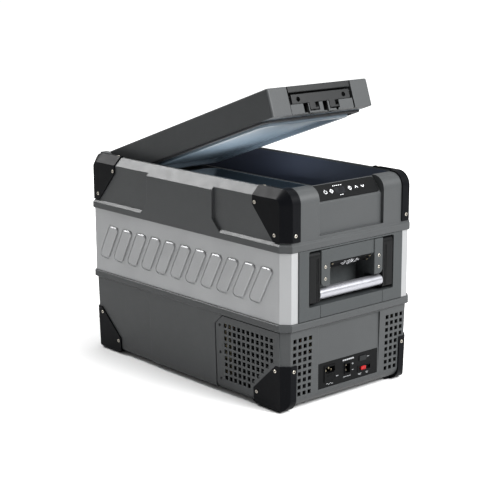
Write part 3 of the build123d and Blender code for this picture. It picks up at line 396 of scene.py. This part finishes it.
def stroke(bm, points, width, top=PRINT_T):
    """Flat line of constant width through (x, y) points."""
    left, right = [], []
    for i, point in enumerate(points):
        here = Vector(point)
        before = (here - Vector(points[i - 1])).normalized() if i else None
        after = (Vector(points[i + 1]) - here).normalized() if i + 1 < len(points) else None
        way = ((before or after) + (after or before)).normalized()
        side = Vector((-way.y, way.x))
        reach = width / 2 / max(0.4, side.dot(Vector((-(after or before).y, (after or before).x))))
        left.append(tuple(here + side * reach))
        right.append(tuple(here - side * reach))
    slab(bm, left + right[::-1], top)


def arc(radius, start, end, count=20, centre=(0.0, 0.0)):
    """Points on an arc between two angles in degrees."""
    points = []
    for i in range(count + 1):
        a = math.radians(start + (end - start) * i / count)
        points.append((centre[0] + radius * math.cos(a), centre[1] + radius * math.sin(a)))
    return points


def disc(bm, radius, top=PRINT_T, centre=(0.0, 0.0)):
    slab(bm, arc(radius, 0, 345, 23, centre), top)


def bar(bm, x, y, wide, high, top=PRINT_T):
    slab(bm, [(x - wide / 2, y - high / 2), (x + wide / 2, y - high / 2),
              (x + wide / 2, y + high / 2), (x - wide / 2, y + high / 2)], top)


def frame_on(origin, right, out):
    """Place matrix with X to the right, Y up and Z out of a face."""
    right, out = Vector(right).normalized(), Vector(out).normalized()
    turned = Matrix((right, out.cross(right), out)).transposed().to_4x4()
    return Matrix.Translation(origin) @ turned


def middle(node):
    low, high = (Vector(v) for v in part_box(node))
    return (low + high) / 2


# key symbols, printed on the keys
KEY_TILT = math.radians(50)             # the key panel's outward direction, from straight up
KEY_OUT = Vector((math.sin(KEY_TILT), 0, math.cos(KEY_TILT)))
RING_R = 0.0034                         # ring of the power and select symbols


def reach(node, way):
    """How far a node's mesh reaches along a direction."""
    return max(vert.co.dot(way) for vert in frame["nodes"][node].data.vertices)


def key_place(node, above=None):
    """Frame over the middle of a node, on the outer face of it or of another node."""
    centre = middle(node)
    rise = reach(above or node, KEY_OUT) - centre.dot(KEY_OUT) + FACE_GAP
    return frame_on(centre + KEY_OUT * rise, (0, 1, 0), KEY_OUT)


def power_symbol(bm):
    stroke(bm, arc(RING_R, 130, 410), 0.0008)
    bar(bm, 0, 0.0030, 0.0008, 0.0034)


def set_symbol(bm):
    stroke(bm, [(0, 0.0040), (0.0040, 0), (0, -0.0040), (-0.0040, 0), (-0.0001, 0.0039)],
           0.0010)
    disc(bm, 0.0008)


def select_symbol(bm):
    stroke(bm, arc(RING_R, 0, 359.9, 36), 0.0009)
    bar(bm, 0, 0, 0.0011, 0.0032)


def chevron(up):
    """Drawing function of an arrowhead that points up (1) or down (-1)."""
    def draw(bm):
        stroke(bm, [(-0.0037, -0.0018 * up), (0, 0.0022 * up), (0.0037, -0.0018 * up)], 0.0012)
    return draw


def print_keys():
    symbols = {"power_button": power_symbol, "set_button": set_symbol,
               "left_key": select_symbol, "up_key": chevron(1), "down_key": chevron(-1)}
    for node, draw in symbols.items():
        bm = bmesh.new()
        draw(bm)
        new_piece(node + "_symbol", bm, node, "print_white", key_place(node))


def print_panel():
    """Small status marks round the display, in place of words."""
    bm = bmesh.new()
    row = 0.0098
    for x in (-0.008, -0.003, 0.002, 0.007):
        bar(bm, x, row, 0.0032, 0.0009)
    for x in (-0.0045, 0.0005):
        bar(bm, x, -row, 0.0034, 0.0009)
    disc(bm, 0.0010, centre=(-0.0125, row))
    new_piece("panel_marks", bm, "cabinet", "print_white",
              key_place("display_window", "key_panel"))


# badge under each handle hood: its outward direction, how far its middle lies inside the box
# of both badges, how far its rivets stand proud, and where they are across and up the face
BADGE_OUT = Vector((15.0, 0, -14.0)).normalized()
BADGE_IN, RIVET_PROUD = 0.0070, 0.0010
RIVET_U, RIVET_V, RIVET_CAP_R, RIVET_CAP_T = 0.048, 0.0053, 0.0018, 0.0003
# emblem: an arm's half length and width, its twigs, and how thick the mark and its bars are
ARM_LONG, ARM_WIDE = 0.0078, 0.0019
TWIG_FROM, TWIG_TO, TWIG_OUT, TWIG_WIDE = 0.0044, 0.0072, 0.0028, 0.0013
MARK_T, MARK_BAR_T = 0.0006, 0.0005


def badge_face(end):
    """Frame on the middle of the badge's face, with X along it and Y up its slope."""
    low, high = (Vector(v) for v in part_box("badge_plates"))
    centre = Vector((high.x - BADGE_IN, 0, (low.z + high.z) / 2))
    rise = reach("badge_plates", BADGE_OUT) - RIVET_PROUD - centre.dot(BADGE_OUT)
    at = centre + BADGE_OUT * rise
    return frame_on((at.x * end, 0, at.z), (0, end, 0), (BADGE_OUT.x * end, 0, BADGE_OUT.z))


def emblem(name, end):
    """Six-armed frost mark with three bars each side, raised on the badge plate."""
    bm = bmesh.new()
    for turn in range(0, 180, 60):
        a = math.radians(turn + 90)
        way, side = Vector((math.cos(a), math.sin(a))), Vector((-math.sin(a), math.cos(a)))
        stroke(bm, [tuple(way * -ARM_LONG), tuple(way * ARM_LONG)], ARM_WIDE, MARK_T)
        for end_sign in (-1, 1):
            for side_sign in (-1, 1):
                root = way * TWIG_FROM * end_sign
                tip = way * TWIG_TO * end_sign + side * TWIG_OUT * side_sign
                stroke(bm, [tuple(root), tuple(tip)], TWIG_WIDE, MARK_T)
    for sign in (-1, 1):
        for row, length in ((-0.0042, 0.006), (0.0, 0.012), (0.0042, 0.006)):
            bar(bm, sign * (0.0120 + length / 2), row, length, 0.0024, MARK_BAR_T)
    new_piece(name, bm, "cabinet", "emblem_silver", badge_face(end))


def badge_rivets(name, end):
    """Brass caps on the four rivets of a badge."""
    bm = bmesh.new()
    for u in (-RIVET_U, RIVET_U):
        for v in (-RIVET_V, RIVET_V):
            disc(bm, RIVET_CAP_R, RIVET_PROUD + RIVET_CAP_T, (u, v))
    new_piece(name, bm, "cabinet", "brass_pin", badge_face(end))


# marks beside the sockets, in metres from the middle of a node: along Y, along Z, length, width
SIGN_Y, SIGN_Z, SIGN_LONG, SIGN_WIDE = 0.0145, 0.006, 0.0042, 0.0009    # plus over minus
DASHES = {
    "dc_inlet": [(dy, 0.0168, 0.0040, 0.0026) for dy in
                 (-0.010, -0.005, 0.0, 0.005, 0.010, 0.015)]
                + [(dy, -0.0155, 0.0036, 0.0010) for dy in (-0.008, -0.003, 0.002, 0.007)]
                + [(SIGN_Y, dz, SIGN_LONG, SIGN_WIDE) for dz in (SIGN_Z, -SIGN_Z)],
    "ac_inlet": [(dy, -0.009, 0.0018, 0.0018) for dy in (0.0180, 0.0210)],
    "usb_socket": [(0.0155, 0.0005, 0.005, 0.0010)],
    "switch_knob": [(-0.009, -0.0096, 0.009, 0.0008), (-0.009, -0.0116, 0.0063, 0.0008),
                    (0.010, -0.0096, 0.006, 0.0008), (0.010, -0.0116, 0.0042, 0.0008)],
}
PLATE_LIP, PIN_SET_BACK = 0.0008, 0.0037    # both from the proudest edge of the socket plate
PIN_LONG, BLADE_HY, BLADE_HZ, PIN_R = 0.009, 0.00115, 0.00215, 0.0018
WAVE_HALF, WAVE_HIGH, WAVE_WIDE, WAVE_BELOW, WAVE_STEPS = 0.0085, 0.0012, 0.0007, 0.0198, 17


def plate_front():
    """X of the proudest edge of the socket plate, the frame round its switch."""
    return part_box("socket_plate")[1][0]


def print_sockets():
    """Plain marks beside the sockets and the switch, in place of words."""
    bm = bmesh.new()
    for node, dashes in DASHES.items():
        home = middle(node)
        for dy, dz, length, width in dashes:
            y, z = home.y + dy, home.z + dz
            stroke(bm, [(y - length / 2, z), (y + length / 2, z)], width)
    dc, ac = middle("dc_inlet"), middle("ac_inlet")
    y, z = dc.y + SIGN_Y, dc.z + SIGN_Z
    stroke(bm, [(y, z - SIGN_LONG / 2), (y, z + SIGN_LONG / 2)], SIGN_WIDE)
    turns = [i / WAVE_STEPS for i in range(-WAVE_STEPS, WAVE_STEPS + 1)]
    stroke(bm, [(ac.y + WAVE_HALF * turn,
                 ac.z - WAVE_BELOW + WAVE_HIGH * math.sin(turn * 2 * math.pi))
                for turn in turns], WAVE_WIDE)
    place = frame_on((plate_front() - PLATE_LIP, 0, 0), (0, 1, 0), (1, 0, 0))
    new_piece("socket_marks", bm, "cabinet", "print_grey", place)


def sleeve(bm, low, high, radius=0.0003):
    """Small block with rounded edges between two corners."""
    made = bmesh.ops.create_cube(bm, size=1.0)["verts"]
    size, centre = Vector(high) - Vector(low), (Vector(high) + Vector(low)) / 2
    for vert in made:
        vert.co = Vector((vert.co.x * size.x, vert.co.y * size.y, vert.co.z * size.z)) + centre
    edges = list({edge for vert in made for edge in vert.link_edges})
    bmesh.ops.bevel(bm, geom=edges, offset=radius, segments=2, affect="EDGES")


def socket_pins():
    """Bright sleeves on the pins of both inlets: flat blades in one, round pins in the other."""
    ac, dc = middle("ac_inlet"), middle("dc_inlet")
    tip = plate_front() - PIN_SET_BACK
    bm = bmesh.new()
    for dy, dz in ((-0.007, 0.005), (0.0, 0.0095), (0.007, 0.005)):
        y, z = ac.y + dy, ac.z + dz
        sleeve(bm, (tip - PIN_LONG, y - BLADE_HY, z - BLADE_HZ), (tip, y + BLADE_HY, z + BLADE_HZ))
    for dz in (-0.0048, 0.0048):
        y, z = dc.y, dc.z + dz
        sleeve(bm, (tip - PIN_LONG, y - PIN_R, z - PIN_R), (tip, y + PIN_R, z + PIN_R), PIN_R / 2)
    new_piece("socket_pins", bm, "cabinet", "brass_pin")


# darker lining of the sloping mouth, as painted shade on its walls
MOUTH_X0, MOUTH_X1, MOUTH_LOW_Y, MOUTH_TOP_Y = -0.285, 0.262, 0.128, 0.142
MOUTH_LOW_Z, MOUTH_TOP_Z, MOUTH_T = 0.3515, 0.4060, 0.0003
MOUTH_FOOT, MOUTH_LIP = 0.0002, 0.003   # left bare at the bottom and at the top


def mouth_shade_lining():
    """Thin smooth lining of painted shade on the four walls of the mouth, open at the top and bottom."""
    rise = (MOUTH_TOP_Y - MOUTH_LOW_Y) / (MOUTH_TOP_Z - MOUTH_LOW_Z)

    def ring(bm, z, inset):
        y = MOUTH_LOW_Y + (z - MOUTH_LOW_Z) * rise - inset
        x0, x1 = MOUTH_X0 + inset, MOUTH_X1 - inset
        return [bm.verts.new(p) for p in ((x0, -y, z), (x1, -y, z), (x1, y, z), (x0, y, z))]

    bm = bmesh.new()
    z0, z1 = MOUTH_LOW_Z + MOUTH_FOOT, MOUTH_TOP_Z - MOUTH_LIP
    near, far = FACE_GAP, FACE_GAP + MOUTH_T
    rings = [ring(bm, z0, near), ring(bm, z1, near), ring(bm, z1, far), ring(bm, z0, far)]
    for a, b in zip(rings, rings[1:] + rings[:1]):
        for i in range(4):
            j = (i + 1) % 4
            bm.faces.new((a[i], a[j], b[j], b[i]))
    new_piece("mouth_shade_lining", bm, "cabinet", "mouth_shade_navy")


# painted shade: dark lining of the niche behind the latch, given for the closed lid
NICHE_X0, NICHE_X1, NICHE_HY = 0.2131, 0.2276, 0.0799
NICHE_Z0, NICHE_MID_Z, NICHE_Z1, NICHE_T = 0.3581, 0.3740, 0.4062, 0.0004
SLOT_IN, SLOT_OUT = 0.0175, 0.0325    # either side of the striker slots in the niche's floor


def niche_shade_lining():
    """Back, floor and ends of the latch niche, as thin closed dark sheets of painted shade, clear of the striker.
    """
    hy, back = NICHE_HY, NICHE_X0 + NICHE_T
    sheets = [((NICHE_X0, -hy, NICHE_Z0), (back, hy, NICHE_Z1))]
    for y0, y1 in ((-hy, -SLOT_OUT), (-SLOT_IN, SLOT_IN), (SLOT_OUT, hy)):
        sheets.append(((NICHE_X0, y0, NICHE_Z0), (NICHE_X1, y1, NICHE_Z0 + NICHE_T)))
    for y0, y1 in ((-hy, NICHE_T - hy), (hy - NICHE_T, hy)):
        sheets.append(((NICHE_X0, y0, NICHE_Z0), (NICHE_X1, y1, NICHE_MID_Z)))
    bm = bmesh.new()
    for low, high in sheets:
        sleeve(bm, low, high, NICHE_T / 4)
    new_piece("niche_shade_lining", bm, "lid", "shade_black", LID_AT_REST)


# painted shade: dark hexagons on the screw heads stand in for the shaded hex recesses; vertices closer than the
# span belong to one screw
SCREW_SPAN, SOCKET_R, SOCKET_GAP, SOCKET_TOP = 0.009, 0.0017, 0.00001, 0.00003


def screw_heads(node):
    """Outer face of each screw in a node: its middle, a direction across it, and its normal."""
    groups = []
    for vert in frame["nodes"][node].data.vertices:
        near = [group for group in groups if (group[0] - vert.co).length < SCREW_SPAN]
        if near:
            near[0].append(vert.co.copy())
        else:
            groups.append([vert.co.copy()])
    for group in groups:
        low = Vector([min(point[i] for point in group) for i in range(3)])
        high = Vector([max(point[i] for point in group) for i in range(3)])
        size, face = high - low, (high + low) / 2
        axis = min(range(3), key=lambda i: size[i])
        sign = 1 if face[axis] > 0 else -1
        face[axis] = high[axis] if sign > 0 else low[axis]
        yield face, Vector([float(i == (axis + 1) % 3) for i in range(3)]), \
            Vector([sign * float(i == axis) for i in range(3)])


def screw_socket_shades(node):
    """Dark hexagon of painted shade on the head of every screw in a node, where its hex recess would be shaded."""
    bm = bmesh.new()
    for face, across, normal in screw_heads(node):
        start = len(bm.verts)
        slab(bm, arc(SOCKET_R, 0, 300, 5), SOCKET_TOP, SOCKET_GAP)
        bm.verts.ensure_lookup_table()
        bmesh.ops.transform(bm, matrix=frame_on(face, across, normal), verts=bm.verts[start:])
    new_piece(node + "_socket_shade", bm, "cabinet", "shade_black")


print_keys()
print_panel()
emblem("front_emblem", 1)
emblem("rear_emblem", -1)
badge_rivets("front_badge_rivets", 1)
badge_rivets("rear_badge_rivets", -1)
print_sockets()
socket_pins()
mouth_shade_lining()
niche_shade_lining()
screw_socket_shades("guard_screws")
screw_socket_shades("hood_screws")


# ---- camera, floor and lights -------------------------------------------------------
def make_camera():
    """Camera at the photo's angle; azimuth 0 looks along +Y."""
    az, el = math.radians(CAMERA_AZIMUTH), math.radians(CAMERA_ELEVATION)
    back = Vector((math.sin(az) * math.cos(el), -math.cos(az) * math.cos(el), math.sin(el)))
    right = Vector((math.cos(az), math.sin(az), 0.0))
    turned = Matrix((right, back.cross(right), back)).transposed()
    turned = turned @ Matrix.Rotation(math.radians(CAMERA_ROLL), 3, "Z")
    data = bpy.data.cameras.new("camera")
    data.lens, data.sensor_width = CAMERA_LENS, SENSOR
    camera = bpy.data.objects.new("camera", data)
    camera.matrix_world = Matrix.Translation(CAMERA_AT) @ turned.to_4x4()
    bpy.context.scene.collection.objects.link(camera)
    bpy.context.scene.camera = camera


def add_area(name, at, target, size, power, colour):
    data = bpy.data.lights.new(name, "AREA")
    data.shape, data.size, data.energy, data.color = "DISK", size, power, colour
    lamp = bpy.data.objects.new(name, data)
    lamp.location = at
    lamp.rotation_euler = (Vector(target) - Vector(at)).to_track_quat("-Z", "Y").to_euler()
    bpy.context.scene.collection.objects.link(lamp)


def make_world():
    """Even soft light from all round, with a white background behind the object."""
    world = bpy.data.worlds.new("studio")
    world.use_nodes = True
    tree = world.node_tree
    soft = tree.nodes["Background"]
    soft.inputs["Color"].default_value = WHITE
    soft.inputs["Strength"].default_value = WORLD_SOFT
    seen = tree.nodes.new("ShaderNodeBackground")
    seen.inputs["Color"].default_value = WHITE
    seen.inputs["Strength"].default_value = WORLD_SEEN
    path = tree.nodes.new("ShaderNodeLightPath")
    blend = tree.nodes.new("ShaderNodeMixShader")
    tree.links.new(path.outputs["Is Camera Ray"], blend.inputs[0])
    tree.links.new(soft.outputs[0], blend.inputs[1])
    tree.links.new(seen.outputs[0], blend.inputs[2])
    tree.links.new(blend.outputs[0], tree.nodes["World Output"].inputs["Surface"])
    bpy.context.scene.world = world


def make_floor():
    """Pale floor that fades with distance into the white background, with a weak bounce."""
    floor_mesh = bpy.data.meshes.new("floor")
    bm = bmesh.new()
    bmesh.ops.create_circle(bm, cap_ends=True, segments=96, radius=FLOOR_R)
    bm.to_mesh(floor_mesh)
    bm.free()
    floor = bpy.data.objects.new("floor", floor_mesh)
    floor.location = (0, 0, -FLOOR_DROP)
    bpy.context.scene.collection.objects.link(floor)
    g = Graph("floor_paper")
    seen = g.add("ShaderNodeLightPath").outputs["Is Camera Ray"]
    g.join(g.mix(seen, (FLOOR_BOUNCE,) * 3 + (1,), (FLOOR_PALE,) * 3 + (1,)),
           g.shader.inputs["Base Color"])
    away = g.add("ShaderNodeVectorMath", operation="LENGTH")
    g.join(g.place, away.inputs[0])
    glow = g.remap(away.outputs["Value"], FLOOR_NEAR, FLOOR_FAR, 0.0, FLOOR_GLOW)
    g.join(g.math("MULTIPLY", glow, seen), g.shader.inputs["Emission Strength"])
    g.set(Roughness=0.9, Specular_IOR_Level=0.1, Emission_Color=WHITE)
    floor_mesh.materials.append(g.material)


def make_studio():
    bpy.context.scene.view_settings.view_transform = "Standard"
    make_world()
    make_floor()
    for lamp in LAMPS:
        add_area(*lamp)


make_camera()
make_studio()
